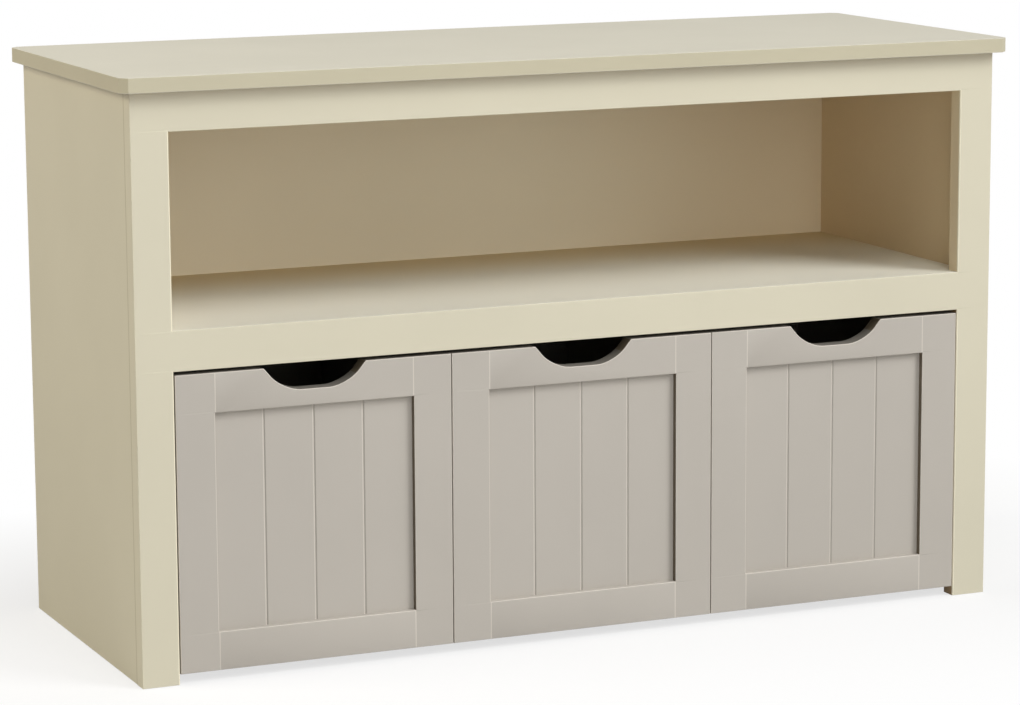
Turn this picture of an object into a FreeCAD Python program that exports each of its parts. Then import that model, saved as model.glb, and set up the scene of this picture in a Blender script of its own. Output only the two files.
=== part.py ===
import FreeCAD, Part
import os
from types import SimpleNamespace

import Sketcher

# Toy storage unit: a low painted cabinet with one long open shelf under its top board, and three toy boxes
# that roll out on hidden castors under the shelf.
# Frame: millimetres, +Z up, the front faces -Y. The origin is on the floor, under the middle of the top board.

SIZES = {
    # Carcass
    "carcass_width": 1014,
    "carcass_depth": 385,
    "carcass_height": 624,
    "side_thick": 22,
    "stile_width": 41,
    "stile_thick": 19,
    "top_rail_height": 42,
    "middle_rail_height": 43,
    "shelf_level": 376,
    "shelf_thick": 16,
    "frame_edge_round": 0.8,
    # Top board
    "top_thick": 16,
    "top_side_overhang": 13,
    "top_front_overhang": 14,
    "top_back_overhang": 6,
    "top_corner_clip": 8,
    "top_edge_round": 1.5,
    # Back
    "back_recess": 21,
    "back_panel_thick": 6,
    "back_groove_depth": 8,
    "back_floor_gap": 20,
    "back_rail_thick": 18,
    "back_rail_height": 60,
    "wall_hole_radius": 3,
    "wall_hole_inset": 130,
    # Battens, screws and dowels of the carcass
    "cleat_width": 18,
    "cleat_height": 25,
    "cleat_end_gap": 12,
    "cleat_screw_inset": 40,
    "cleat_screw_depth": 9,
    "cleat_screw_radius": 2,
    "cleat_screw_head_radius": 4,
    "cleat_screw_head_height": 3,
    "dowel_radius": 4,
    "dowel_reach": 16,
    "dowel_edge_inset": 12,
    # Box fronts
    "front_gap": 1,
    "front_top_gap": 4,
    "front_floor_gap": 11,
    "front_thick": 18,
    "front_stile_width": 43,
    "front_top_rail_height": 42.5,
    "front_bottom_rail_height": 41.5,
    "front_edge_round": 1,
    "panel_recess": 7,
    "panel_thick": 9,
    "panel_tongue": 7,
    "vee_half_width": 1.5,
    "vee_depth": 1,
    "scoop_half_width": 57,
    "scoop_floor_half_width": 36,
    "scoop_depth": 25,
    "scoop_radius": 45,
    "scoop_lip_radius": 2,
    # Boxes
    "box_side_inset": 6,
    "box_side_thick": 12,
    "box_rim_level": 300,
    "box_rim_round": 2,
    "box_skirt": 6,
    "box_bottom_thick": 12,
    "box_groove_depth": 5,
    "box_stop_gap": 0.3,
    # Castors
    "castor_height": 50,
    "castor_side_inset": 40,
    "castor_end_inset": 62,
    "plate_thick": 2.5,
    "plate_width": 44,
    "plate_length": 48,
    "leg_thick": 2.5,
    "leg_width": 20,
    "leg_corner_round": 8,
    "wheel_radius": 20,
    "wheel_width": 17,
    "wheel_tread_bevel": 2,
    "wheel_dish_depth": 3,
    "wheel_dish_radius": 14,
    "wheel_hub_radius": 7,
    "wheel_side_gap": 0.5,
    "axle_radius": 3,
    "axle_gap": 0.05,
    "axle_head_radius": 5,
    "axle_head_thick": 1.5,
    "plate_screw_radius": 1.75,
    "plate_screw_head_radius": 3.5,
    "plate_screw_head_height": 1.8,
    "plate_screw_depth": 8.5,
    "plate_screw_inset": 6,
    # A cut runs past the solid by this much
    "cut_overrun": 5,
}

BIN_NAMES = ("left_bin", "middle_bin", "right_bin")
VEE_COUNT = 3
SAME_PLACE = 1e-5
CUBIC_MM_PER_CM3 = 1000


class Size:
    """A length that carries its expression for the document beside its value in millimetres."""

    def __init__(self, text, value):
        self.text = text
        self.value = value

    @staticmethod
    def of(thing):
        return thing if isinstance(thing, Size) else Size(str(thing), thing)

    def joined(self, sign, other, value):
        return Size(f"({self.text} {sign} {other.text})", value)

    def __add__(self, other):
        other = Size.of(other)
        return self.joined("+", other, self.value + other.value)

    def __sub__(self, other):
        other = Size.of(other)
        return self.joined("-", other, self.value - other.value)

    def __mul__(self, other):
        other = Size.of(other)
        return self.joined("*", other, self.value * other.value)

    def __truediv__(self, other):
        other = Size.of(other)
        return self.joined("/", other, self.value / other.value)

    def __neg__(self):
        return Size(f"(-{self.text})", -self.value)

    __rmul__ = __mul__


doc = FreeCAD.newDocument("toy_storage_unit")
ZERO = Size("0", 0)


def make_sheet():
    """Writes each driving dimension beside its name, and returns them all as named sizes."""
    sheet = doc.addObject("Spreadsheet::Sheet", "sizes")
    for row, (name, value) in enumerate(SIZES.items(), 1):
        sheet.set(f"A{row}", name)
        sheet.set(f"B{row}", str(value))
        sheet.setAlias(f"B{row}", name)
    doc.recompute()
    return SimpleNamespace(**{name: Size(f"sizes.{name}", value) for name, value in SIZES.items()})


s = make_sheet()

# Planes of the carcass that more than one piece meets
carcass_left = -s.carcass_width / 2
top_depth = s.carcass_depth + s.top_front_overhang + s.top_back_overhang
front_plane = s.top_front_overhang - top_depth / 2
back_plane = front_plane + s.carcass_depth
frame_back = front_plane + s.stile_thick
inner_left = carcass_left + s.side_thick
inner_width = s.carcass_width - 2 * s.side_thick
inner_right = inner_left + inner_width
opening_left = carcass_left + s.stile_width
opening_width = s.carcass_width - 2 * s.stile_width
opening_right = opening_left + opening_width
back_panel_rear = back_plane - s.back_recess
back_panel_front = back_panel_rear - s.back_panel_thick
middle_rail_base = s.shelf_level - s.middle_rail_height
top_rail_base = s.carcass_height - s.top_rail_height
shelf_base = s.shelf_level - s.shelf_thick

# Sizes that every box shares
front_width = (opening_width - (len(BIN_NAMES) + 1) * s.front_gap) / len(BIN_NAMES)
front_height = middle_rail_base - s.front_top_gap - s.front_floor_gap
panel_width = front_width - 2 * s.front_stile_width
panel_height = front_height - s.front_bottom_rail_height - s.front_top_rail_height
front_rear = front_plane + s.front_thick
box_width = front_width - 2 * s.box_side_inset
box_back = back_panel_front - s.box_stop_gap
box_length = box_back - front_rear
box_base = s.castor_height - s.box_skirt
box_height = s.box_rim_level - box_base

nodes = []


def bind(thing, **sizes):
    """Binds properties of an object to sizes, such as Length=width."""
    for name, size in sizes.items():
        thing.setExpression(name, size.text)


def place(thing, at):
    for axis, size in zip("xyz", at):
        thing.setExpression(f"Placement.Base.{axis}", size.text)


def node(thing, label):
    """Marks an object as a finished piece. Its label names its file."""
    thing.Label = label
    nodes.append(thing)
    return thing


def body_at(name, at):
    body = doc.addObject("PartDesign::Body", name)
    place(body, at)
    return body


def sketch_on(body, name, role, lift=ZERO):
    sketch = body.newObject("Sketcher::SketchObject", f"{body.Name}_{name}")
    plane = next(item for item in body.Origin.OriginFeatures if item.Role == role)
    sketch.AttachmentSupport = [(plane, "")]
    sketch.MapMode = "FlatFace"
    sketch.setExpression("AttachmentOffset.Base.z", lift.text)
    return sketch


def pin_point(sketch, item, point, spot):
    """Ties a point of a sketch to its two sizes, counted from the sketch's origin."""
    for kind, axis, size in (("DistanceX", -2, spot[0]), ("DistanceY", -1, spot[1])):
        if size is ZERO:
            sketch.addConstraint(Sketcher.Constraint("PointOnObject", item, point, axis))
        else:
            number = sketch.addConstraint(Sketcher.Constraint(kind, -1, 1, item, point, size.value))
            sketch.setExpression(f"Constraints[{number}]", size.text)


def outline(body, name, role, spots, lift=ZERO):
    """Draws a closed outline of straight lines, with every corner tied to its two sizes."""
    sketch = sketch_on(body, name, role, lift)
    corners = [FreeCAD.Vector(x.value, y.value, 0) for x, y in spots]
    count = len(corners)
    for index in range(count):
        sketch.addGeometry(Part.LineSegment(corners[index], corners[(index + 1) % count]), False)
    for index in range(count):
        sketch.addConstraint(Sketcher.Constraint("Coincident", index, 2, (index + 1) % count, 1))
    for index, spot in enumerate(spots):
        pin_point(sketch, index, 1, spot)
    return sketch


def circles(body, name, role, spots, radius):
    sketch = sketch_on(body, name, role)
    for index, spot in enumerate(spots):
        centre = FreeCAD.Vector(spot[0].value, spot[1].value, 0)
        sketch.addGeometry(Part.Circle(centre, FreeCAD.Vector(0, 0, 1), radius.value), False)
        pin_point(sketch, index, 3, spot)
        number = sketch.addConstraint(Sketcher.Constraint("Radius", index, radius.value))
        sketch.setExpression(f"Constraints[{number}]", radius.text)
    return sketch


def rectangle(left, low, right, high):
    return [(left, low), (right, low), (right, high), (left, high)]


def pad(body, sketch, length, reverse=False):
    feature = body.newObject("PartDesign::Pad", f"{sketch.Name}_pad")
    feature.Profile = sketch
    feature.Reversed = reverse
    bind(feature, Length=length)
    doc.recompute()
    return feature


def pocket(body, sketch):
    """Cuts an outline right through the piece, both ways from the sketch's plane."""
    before = body.Tip.Shape.Volume
    feature = body.newObject("PartDesign::Pocket", f"{sketch.Name}_cut")
    feature.Profile = sketch
    feature.Type = "ThroughAll"
    feature.Midplane = True
    doc.recompute()
    if feature.Shape.Volume > before - SAME_PLACE:
        raise ValueError(f"{feature.Name} cuts nothing")
    return feature


def revolve(body, sketch):
    feature = body.newObject("PartDesign::Revolution", f"{sketch.Name}_turned")
    feature.Profile = sketch
    feature.ReferenceAxis = (sketch, ["H_Axis"])
    doc.recompute()
    return feature


def round_edges(body, name, radius, pick):
    """Rounds the edges of the body's last feature that pick accepts by their bounding box."""
    tip = body.Tip
    names = [f"Edge{number}" for number, edge in enumerate(tip.Shape.Edges, 1) if pick(edge.BoundBox)]
    feature = body.newObject("PartDesign::Fillet", f"{body.Name}_{name}")
    feature.Base = (tip, names)
    bind(feature, Radius=radius)
    doc.recompute()
    return feature


def same(value, target):
    return abs(value - target) < SAME_PLACE


def on_front(box):
    """An edge in the piece's own front plane."""
    return same(box.YMin, 0) and same(box.YMax, 0)


def level(box):
    """An edge that runs at one height."""
    return same(box.ZMin, box.ZMax)


def front_level(box):
    return on_front(box) and not same(box.XMin, box.XMax)


def block(name, at, width, depth, height):
    """A board sawn square: its outline seen from above, padded up."""
    body = body_at(name, at)
    sketch = outline(body, "outline", "XY_Plane", rectangle(ZERO, ZERO, width, depth))
    pad(body, sketch, height)
    return body


def copies(name, pattern, places, rotation=None):
    """Identical pieces in one node: linked copies of a pattern at a list of places."""
    links = []
    for number, at in enumerate(places, 1):
        link = doc.addObject("App::Link", f"{name}_{number}")
        link.LinkedObject = pattern
        if rotation is not None:
            link.Placement = FreeCAD.Placement(FreeCAD.Vector(), rotation)
        place(link, at)
        links.append(link)
    group = doc.addObject("Part::Compound", name)
    group.Links = links
    doc.recompute()
    return group


def drilled(name, blank, tool):
    """A piece with the holes that a group of screws or dowels fills."""
    cut = doc.addObject("Part::Cut", name)
    cut.Base = blank
    cut.Tool = tool
    doc.recompute()
    if cut.Shape.Volume > blank.Shape.Volume - SAME_PLACE:
        raise ValueError(f"{name} has no holes")
    return node(cut, name)


def make_screw(name, length, head_length, head_radius, shank_radius, flat_head):
    """A screw that points up, with its head's underside at the origin. A flat head tapers to the shank."""
    body = body_at(name, (ZERO, ZERO, ZERO))
    shoulder = shank_radius if flat_head else head_radius
    spots = [(ZERO, ZERO), (ZERO, head_radius), (head_length, shoulder)]
    if not flat_head:
        spots.append((head_length, shank_radius))
    spots += [(length, shank_radius), (length, ZERO)]
    revolve(body, outline(body, "section", "XZ_Plane", spots))
    return body


UPRIGHT = FreeCAD.Rotation(FreeCAD.Vector(0, 1, 0), -90)


def make_frame_dowels():
    """Eight dowels, two at each end of both rails, half in the rail and half in the stile."""
    pattern = doc.addObject("Part::Cylinder", "dowel_pattern")
    bind(pattern, Radius=s.dowel_radius, Height=2 * s.dowel_reach)
    middle = front_plane + s.stile_thick / 2
    levels = [top_rail_base + s.dowel_edge_inset,
              s.carcass_height - s.dowel_edge_inset,
              middle_rail_base + s.dowel_edge_inset,
              s.shelf_level - s.dowel_edge_inset]
    places = [(joint - s.dowel_reach, middle, height)
              for joint in (opening_left, opening_right) for height in levels]
    along = FreeCAD.Rotation(FreeCAD.Vector(0, 1, 0), 90)
    return node(copies("frame_dowels", pattern, places, along), "frame_dowels")


def make_face_frame(dowels):
    for name, left in (("left_front_stile", carcass_left), ("right_front_stile", opening_right)):
        stile = block(f"{name}_blank", (left, front_plane, ZERO), s.stile_width, s.stile_thick, s.carcass_height)
        round_edges(stile, "round", s.frame_edge_round, lambda box: on_front(box) and same(box.XMin, box.XMax))
        drilled(name, stile, dowels)
    for name, base, height in (("top_front_rail", top_rail_base, s.top_rail_height),
                               ("middle_front_rail", middle_rail_base, s.middle_rail_height)):
        rail = block(f"{name}_blank", (opening_left, front_plane, base), opening_width, s.stile_thick, height)
        round_edges(rail, "round", s.frame_edge_round, front_level)
        drilled(name, rail, dowels)


def make_side_panels():
    """Both sides stand behind the stiles, and a groove in each takes the back panel's edge."""
    depth = back_plane - frame_back
    groove_front = back_panel_front - frame_back
    groove_rear = back_panel_rear - frame_back
    for name, left, inner, outer, into in (
            ("left_side_panel", carcass_left, s.side_thick, ZERO, s.side_thick - s.back_groove_depth),
            ("right_side_panel", inner_right, ZERO, s.side_thick, s.back_groove_depth)):
        side = body_at(name, (left, frame_back, ZERO))
        spots = [(outer, ZERO), (inner, ZERO), (inner, groove_front), (into, groove_front),
                 (into, groove_rear), (inner, groove_rear), (inner, depth), (outer, depth)]
        pad(side, outline(side, "outline", "XY_Plane", spots), s.carcass_height)
        node(side, name)


def make_back():
    """The thin back panel, and two rails behind it. The top rail carries the two wall fixing holes."""
    panel = block("back_panel", (inner_left - s.back_groove_depth, back_panel_front, s.back_floor_gap),
                  inner_width + 2 * s.back_groove_depth, s.back_panel_thick,
                  s.carcass_height - s.back_floor_gap)
    top_rail = block("back_top_rail", (inner_left, back_panel_rear, s.carcass_height - s.back_rail_height),
                     inner_width, s.back_rail_thick, s.back_rail_height)
    bottom_rail = block("back_bottom_rail", (inner_left, back_panel_rear, s.back_floor_gap),
                        inner_width, s.back_rail_thick, s.back_rail_height)
    hole_level = s.carcass_height - s.back_rail_height / 2
    for body, left, base in ((panel, inner_left - s.back_groove_depth, s.back_floor_gap),
                             (top_rail, inner_left, s.carcass_height - s.back_rail_height)):
        spots = [(inner_left + s.wall_hole_inset - left, hole_level - base),
                 (inner_right - s.wall_hole_inset - left, hole_level - base)]
        pocket(body, circles(body, "wall_holes", "XZ_Plane", spots, s.wall_hole_radius))
    for body in (panel, top_rail, bottom_rail):
        node(body, body.Name)


def make_top_and_shelf():
    """The boards and the battens under them share the screws that run up through the battens."""
    cleat_front = frame_back + s.cleat_end_gap
    cleat_length = back_panel_front - frame_back - 2 * s.cleat_end_gap
    rows = (cleat_front + s.cleat_screw_inset,
            cleat_front + cleat_length / 2,
            cleat_front + cleat_length - s.cleat_screw_inset)
    screw_length = s.cleat_height + s.cleat_screw_depth
    pattern = make_screw("cleat_screw_pattern", screw_length, s.cleat_screw_head_height,
                         s.cleat_screw_head_radius, s.cleat_screw_radius, flat_head=True)
    lefts = (inner_left, inner_right - s.cleat_width)
    bases = {"shelf_cleats": shelf_base - s.cleat_height, "top_cleats": s.carcass_height - s.cleat_height}
    places = [(left + s.cleat_width / 2, row, base) for base in bases.values() for left in lefts for row in rows]
    screws = node(copies("carcass_screws", pattern, places, UPRIGHT), "carcass_screws")

    bar = doc.addObject("Part::Box", "cleat_pattern")
    bind(bar, Length=s.cleat_width, Width=cleat_length, Height=s.cleat_height)
    for name, base in bases.items():
        blanks = copies(f"{name}_blank", bar, [(left, cleat_front, base) for left in lefts])
        drilled(name, blanks, screws)

    shelf = block("shelf_board_blank", (inner_left, frame_back, shelf_base),
                  inner_width, back_panel_front - frame_back, s.shelf_thick)
    drilled("shelf_board", shelf, screws)

    top_width = s.carcass_width + 2 * s.top_side_overhang
    clip = s.top_corner_clip
    top = body_at("top_board_blank", (carcass_left - s.top_side_overhang, front_plane - s.top_front_overhang,
                                      s.carcass_height))
    spots = [(clip, ZERO), (top_width - clip, ZERO), (top_width, clip), (top_width, top_depth - clip),
             (top_width - clip, top_depth), (clip, top_depth), (ZERO, top_depth - clip), (ZERO, clip)]
    pad(top, outline(top, "outline", "XY_Plane", spots), s.top_thick)
    round_edges(top, "round", s.top_edge_round, level)
    drilled("top_board", top, screws)


def make_bin_front(bin_name, left):
    """A frame round a recessed panel: grooved stiles, rails with stub tenons, and the scooped top rail."""
    groove_front = s.panel_recess
    groove_rear = s.panel_recess + s.panel_thick
    tongue = s.panel_tongue
    base = s.front_floor_gap
    for side, offset, outer, inner, into in (
            ("left", ZERO, ZERO, s.front_stile_width, s.front_stile_width - tongue),
            ("right", s.front_stile_width + panel_width, s.front_stile_width, ZERO, tongue)):
        name = f"{bin_name}_front_{side}_stile"
        stile = body_at(name, (left + offset, front_plane, base))
        spots = [(outer, ZERO), (inner, ZERO), (inner, groove_front), (into, groove_front),
                 (into, groove_rear), (inner, groove_rear), (inner, s.front_thick), (outer, s.front_thick)]
        pad(stile, outline(stile, "outline", "XY_Plane", spots), front_height)
        round_edges(stile, "round", s.front_edge_round, on_front)
        node(stile, name)

    rail_left = left + s.front_stile_width
    top_base = base + front_height - s.front_top_rail_height
    tenoned = [(ZERO, ZERO), (panel_width, ZERO), (panel_width, groove_front),
               (panel_width + tongue, groove_front), (panel_width + tongue, groove_rear),
               (panel_width, groove_rear), (panel_width, s.front_thick), (ZERO, s.front_thick),
               (ZERO, groove_rear), (-tongue, groove_rear), (-tongue, groove_front), (ZERO, groove_front)]
    for part, rail_base, height, groove_low, groove_high in (
            ("top_rail", top_base, s.front_top_rail_height, -s.cut_overrun, tongue),
            ("bottom_rail", base, s.front_bottom_rail_height, s.front_bottom_rail_height - tongue,
             s.front_bottom_rail_height + s.cut_overrun)):
        name = f"{bin_name}_front_{part}"
        rail = body_at(name, (rail_left, front_plane, rail_base))
        pad(rail, outline(rail, "outline", "XY_Plane", tenoned), height)
        groove = rectangle(groove_front, groove_low, groove_rear, groove_high)
        pocket(rail, outline(rail, "groove", "YZ_Plane", groove))
        if part == "top_rail":
            cut_scoop(rail)
        round_edges(rail, "round", s.front_edge_round, front_level)
        node(rail, name)

    name = f"{bin_name}_front_panel"
    panel = block(name, (rail_left - tongue, front_plane + groove_front,
                         base + s.front_bottom_rail_height - tongue),
                  panel_width + 2 * tongue, s.panel_thick, panel_height + 2 * tongue)
    spacing = panel_width / (VEE_COUNT + 1)
    first = tongue + spacing
    vee = outline(panel, "vee", "XY_Plane", [(first - s.vee_half_width, ZERO), (first + s.vee_half_width, ZERO),
                                             (first, s.vee_depth)])
    cut = pocket(panel, vee)
    row = panel.newObject("PartDesign::LinearPattern", f"{name}_vees")
    row.Originals = [cut]
    row.Direction = (vee, ["H_Axis"])
    row.Occurrences = VEE_COUNT
    bind(row, Length=spacing * (VEE_COUNT - 1))
    panel.Tip = row
    doc.recompute()
    node(panel, name)


def cut_scoop(rail):
    """The hand cut-out: a shallow dip through the rail, with wide round corners and small round lips."""
    middle = panel_width / 2
    rim = s.front_top_rail_height
    floor = rim - s.scoop_depth
    wide = s.scoop_half_width
    narrow = s.scoop_floor_half_width
    above = rim + s.cut_overrun
    pocket(rail, outline(rail, "scoop", "XZ_Plane", [
        (middle - wide, above), (middle - wide, rim), (middle - narrow, floor),
        (middle + narrow, floor), (middle + wide, rim), (middle + wide, above)]))

    def across_at(height):
        return lambda box: (same(box.ZMin, height.value) and same(box.ZMax, height.value)
                            and same(box.XMin, box.XMax))

    round_edges(rail, "scoop_corners", s.scoop_radius, across_at(floor))

    def lip(box):
        return across_at(rim)(box) and abs(box.XMin - middle.value) < panel_width.value / 2 - SAME_PLACE

    round_edges(rail, "scoop_lips", s.scoop_lip_radius, lip)


def make_box(bin_name, left, screws):
    """Two sides and a back round a bottom board, which sits in a groove of all three."""
    groove = (s.box_side_thick - s.box_groove_depth, s.box_skirt, s.box_skirt + s.box_bottom_thick)
    box_left = left + s.box_side_inset
    box_right = box_left + box_width
    for side, at_left, outer, inner, into in (
            ("left", box_left, ZERO, s.box_side_thick, groove[0]),
            ("right", box_right - s.box_side_thick, s.box_side_thick, ZERO, s.box_groove_depth)):
        name = f"{bin_name}_{side}_side"
        wall = body_at(name, (at_left, front_rear, box_base))
        spots = [(outer, ZERO), (inner, ZERO), (inner, groove[1]), (into, groove[1]),
                 (into, groove[2]), (inner, groove[2]), (inner, box_height), (outer, box_height)]
        pad(wall, outline(wall, "outline", "XZ_Plane", spots), box_length, reverse=True)
        round_edges(wall, "rim", s.box_rim_round,
                    lambda box: same(box.ZMin, box_height.value) and same(box.XMin, box.XMax))
        node(wall, name)

    name = f"{bin_name}_back"
    back = body_at(name, (box_left + s.box_side_thick, box_back - s.box_side_thick, box_base))
    spots = [(ZERO, ZERO), (s.box_side_thick, ZERO), (s.box_side_thick, box_height), (ZERO, box_height),
             (ZERO, groove[2]), (s.box_groove_depth, groove[2]), (s.box_groove_depth, groove[1]),
             (ZERO, groove[1])]
    pad(back, outline(back, "outline", "YZ_Plane", spots), box_width - 2 * s.box_side_thick)
    round_edges(back, "rim", s.box_rim_round,
                lambda box: same(box.ZMin, box_height.value) and same(box.YMin, box.YMax))
    node(back, name)

    bottom = block(f"{bin_name}_bottom_blank", (box_left + groove[0], front_rear, s.castor_height),
                   box_width - 2 * groove[0], box_length - groove[0], s.box_bottom_thick)
    drilled(f"{bin_name}_bottom", bottom, screws)


leg_face = s.wheel_width / 2 + s.wheel_side_gap
leg_outside = leg_face + s.leg_thick
screw_reach_x = s.plate_width / 2 - s.plate_screw_inset
screw_reach_y = s.plate_length / 2 - s.plate_screw_inset


def make_castor_patterns():
    """A pressed bracket whose origin is on the axle, its riveted axle pin, and a pan-head screw."""
    bracket = body_at("castor_bracket_pattern", (ZERO, ZERO, ZERO))
    plate_top = s.castor_height - s.wheel_radius
    plate = outline(bracket, "plate", "XY_Plane",
                    rectangle(-s.plate_width / 2, -s.plate_length / 2, s.plate_width / 2, s.plate_length / 2),
                    lift=plate_top - s.plate_thick)
    pad(bracket, plate, s.plate_thick)
    leg = rectangle(-s.leg_width / 2, -s.leg_width / 2, s.leg_width / 2, plate_top - s.plate_thick)
    for name, lift in (("left_leg", -leg_outside), ("right_leg", leg_face)):
        pad(bracket, outline(bracket, name, "YZ_Plane", leg, lift), s.leg_thick)
    round_edges(bracket, "leg_round", s.leg_corner_round,
                lambda box: same(box.ZMin, -s.leg_width.value / 2) and same(box.YMin, box.YMax)
                and level(box))
    pocket(bracket, circles(bracket, "axle_hole", "YZ_Plane", [(ZERO, ZERO)], s.axle_radius))

    axle = body_at("axle_pattern", (ZERO, ZERO, ZERO))
    end = leg_outside + s.axle_head_thick
    revolve(axle, outline(axle, "section", "XZ_Plane", [
        (-end, ZERO), (-end, s.axle_head_radius), (-leg_outside, s.axle_head_radius),
        (-leg_outside, s.axle_radius), (leg_outside, s.axle_radius), (leg_outside, s.axle_head_radius),
        (end, s.axle_head_radius), (end, ZERO)]))

    screw = make_screw("plate_screw_pattern",
                       s.plate_screw_head_height + s.plate_thick + s.plate_screw_depth,
                       s.plate_screw_head_height, s.plate_screw_head_radius, s.plate_screw_radius,
                       flat_head=False)
    return bracket, axle, screw


def make_wheel(name, at):
    """A moulded wheel with a dished web on both faces, turned about its bore."""
    wheel = body_at(name, at)
    edge = s.wheel_width / 2
    dish = edge - s.wheel_dish_depth
    bore = s.axle_radius + s.axle_gap
    half = [(edge, bore), (edge, s.wheel_hub_radius), (dish, s.wheel_hub_radius), (dish, s.wheel_dish_radius),
            (edge, s.wheel_dish_radius), (edge, s.wheel_radius - s.wheel_tread_bevel),
            (edge - s.wheel_tread_bevel, s.wheel_radius)]
    other_half = [(-x, radius) for x, radius in reversed(half)]
    revolve(wheel, outline(wheel, "section", "XZ_Plane", half + other_half))
    return node(wheel, name)


def make_castors(bin_name, left, patterns):
    bracket, axle, screw = patterns
    box_left = left + s.box_side_inset
    columns = {"left": box_left + s.castor_side_inset, "right": box_left + box_width - s.castor_side_inset}
    rows = {"front": front_rear + s.castor_end_inset, "back": box_back - s.castor_end_inset}
    spots = [(x, y, s.wheel_radius) for y in rows.values() for x in columns.values()]
    screw_base = s.castor_height - s.plate_thick - s.plate_screw_head_height
    screw_spots = [(x + dx, y + dy, screw_base) for x, y, height in spots
                   for dx in (-screw_reach_x, screw_reach_x) for dy in (-screw_reach_y, screw_reach_y)]
    screws = node(copies(f"{bin_name}_castor_screws", screw, screw_spots, UPRIGHT), f"{bin_name}_castor_screws")
    frames = doc.addObject("Part::Compound", f"{bin_name}_castor_blanks")
    frames.Links = [copies(f"{bin_name}_brackets", bracket, spots), copies(f"{bin_name}_axles", axle, spots)]
    doc.recompute()
    drilled(f"{bin_name}_castor_frames", frames, screws)
    for row, y in rows.items():
        for column, x in columns.items():
            make_wheel(f"{bin_name}_wheel_{row}_{column}", (x, y, s.wheel_radius))
    return screws


dowels = make_frame_dowels()
make_face_frame(dowels)
make_side_panels()
make_back()
make_top_and_shelf()
castor_patterns = make_castor_patterns()
for index, bin_name in enumerate(BIN_NAMES):
    bin_left = opening_left + s.front_gap + index * (front_width + s.front_gap)
    make_bin_front(bin_name, bin_left)
    bin_screws = make_castors(bin_name, bin_left, castor_patterns)
    make_box(bin_name, bin_left, bin_screws)
doc.recompute()

for thing in doc.Objects:
    if "Invalid" in thing.State or "Error" in thing.State:
        raise ValueError(f"{thing.Label} did not recompute: {thing.State}")
os.makedirs("parts", exist_ok=True)
for piece in nodes:
    shape = piece.Shape
    if shape.isNull() or not shape.isValid():
        raise ValueError(f"{piece.Label} has no valid shape")
    shape.exportStep(f"parts/{piece.Label}.step")
    print(f"{piece.Label}: {len(shape.Solids)} solids, {shape.Volume / CUBIC_MM_PER_CM3:.1f} cm3")
print(f"{len(nodes)} nodes")
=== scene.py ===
# %% [markdown]
# # A painted toy storage unit
# The object is a low cabinet with an open shelf and three roll-out toy boxes. Its pieces, sizes and
# joints are already packed as a fixed frame. This lesson gives each board soft edges and satin paint, and
# lights it as in a photo studio. Every object is in metres, in the frame's own place, so nothing is fitted
# afterwards.

# %% Load the frame
import math

import bmesh
import bpy
from mathutils import Matrix, Vector


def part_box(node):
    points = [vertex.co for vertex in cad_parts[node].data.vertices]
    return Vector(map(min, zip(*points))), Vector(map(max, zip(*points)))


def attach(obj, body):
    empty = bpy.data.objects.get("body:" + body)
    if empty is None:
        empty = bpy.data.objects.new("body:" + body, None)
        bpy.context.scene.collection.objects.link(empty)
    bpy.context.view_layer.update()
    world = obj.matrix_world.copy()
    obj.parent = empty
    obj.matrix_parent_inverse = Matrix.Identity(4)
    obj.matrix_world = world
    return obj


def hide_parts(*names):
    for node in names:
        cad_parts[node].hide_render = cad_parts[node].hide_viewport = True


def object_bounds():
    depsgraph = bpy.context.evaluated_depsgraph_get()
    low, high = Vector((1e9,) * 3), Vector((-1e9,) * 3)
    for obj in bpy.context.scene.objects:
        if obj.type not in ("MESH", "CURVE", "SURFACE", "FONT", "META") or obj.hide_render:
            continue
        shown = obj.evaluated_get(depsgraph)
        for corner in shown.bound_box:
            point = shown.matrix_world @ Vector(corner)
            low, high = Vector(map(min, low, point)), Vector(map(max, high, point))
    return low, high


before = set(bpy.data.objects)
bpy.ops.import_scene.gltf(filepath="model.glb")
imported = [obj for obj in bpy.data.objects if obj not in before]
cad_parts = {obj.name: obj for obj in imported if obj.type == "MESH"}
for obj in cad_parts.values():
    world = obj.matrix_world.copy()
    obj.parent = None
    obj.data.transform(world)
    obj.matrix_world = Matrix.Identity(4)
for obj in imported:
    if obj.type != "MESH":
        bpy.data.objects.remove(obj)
cad_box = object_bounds()
MM = 0.001
X, Y, Z = 0, 1, 2
BINS = ("left_bin", "middle_bin", "right_bin")

# %% [markdown]
# ## The camera
# The cabinet is seen from its left, a little from above, through a long lens. The camera's place and turn
# were found by matching about fifty corners of the cabinet, so they are plain numbers here. The heading
# counts from straight at the front, the dip is downwards, and the roll is the slight lean of the horizon.

# %% Camera
CAMERA_PLACE = Vector((-1.6066, -3.6678, 0.9891))
CAMERA_HEADING = math.radians(23.59)
CAMERA_DIP = math.radians(9.92)
CAMERA_ROLL = math.radians(-0.32)
CAMERA_LENS = 126.7
CAMERA_SENSOR = 36
CAMERA_REACH = 100


def make_camera():
    ahead = Vector((math.sin(CAMERA_HEADING) * math.cos(CAMERA_DIP),
                    math.cos(CAMERA_HEADING) * math.cos(CAMERA_DIP),
                    -math.sin(CAMERA_DIP)))
    right = ahead.cross(Vector((0, 0, 1))).normalized()
    up = right.cross(ahead)
    right, up = (right * math.cos(CAMERA_ROLL) + up * math.sin(CAMERA_ROLL),
                 up * math.cos(CAMERA_ROLL) - right * math.sin(CAMERA_ROLL))
    bpy.ops.object.camera_add()
    camera = bpy.context.object
    camera.name = "camera"
    camera.data.lens = CAMERA_LENS
    camera.data.sensor_width = CAMERA_SENSOR
    camera.data.clip_end = CAMERA_REACH
    turn = Matrix((right, up, -ahead)).transposed()
    camera.matrix_world = Matrix.Translation(CAMERA_PLACE) @ turn.to_4x4()
    bpy.context.scene.camera = camera


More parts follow.
